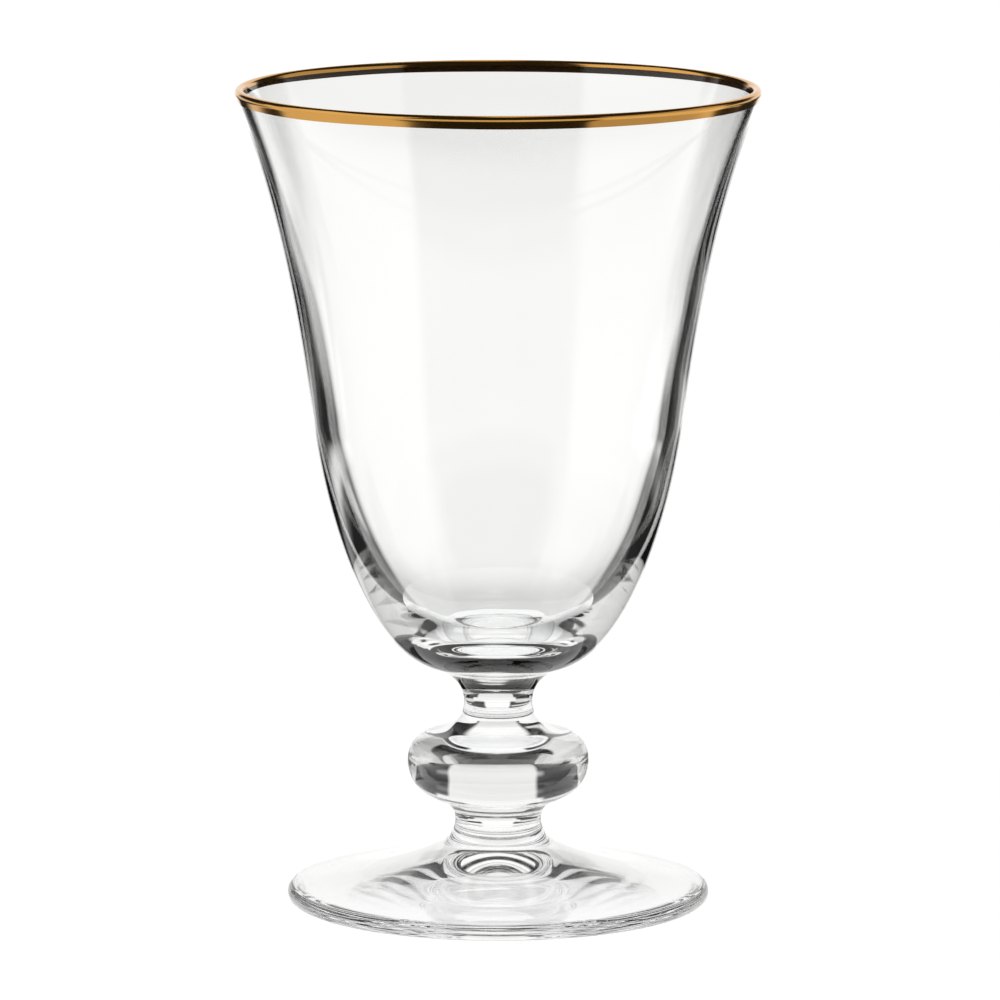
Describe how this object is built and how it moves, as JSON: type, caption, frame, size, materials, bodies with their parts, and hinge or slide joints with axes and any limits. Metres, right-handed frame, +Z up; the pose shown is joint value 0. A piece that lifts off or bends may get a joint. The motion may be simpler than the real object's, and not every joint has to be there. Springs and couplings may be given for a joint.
{
  "type": "chalice beer glass",
  "caption": "Clear stemmed chalice glass: a flared bell bowl with a gold lip, a knopped stem and a round foot. Holds a drink and stands on its foot.",
  "frame": {"origin": "on the glass's axis, in the plane that the foot stands on", "axes": "+Z up along the axis, from the foot to the lip; the glass is round, so X and Y are free"},
  "size_m": [0.0956, 0.0956, 0.1501],
  "materials": {
    "glass": "clear soda-lime glass, fire polished",
    "gold": "bright fired gold, hand banded"
  },
  "bodies": {
    "root": {"foot": "glass", "lower_stem": "glass", "knop": "glass", "upper_stem": "glass", "bowl": "glass", "rim_band": "gold"}
  },
  "joints": []
}
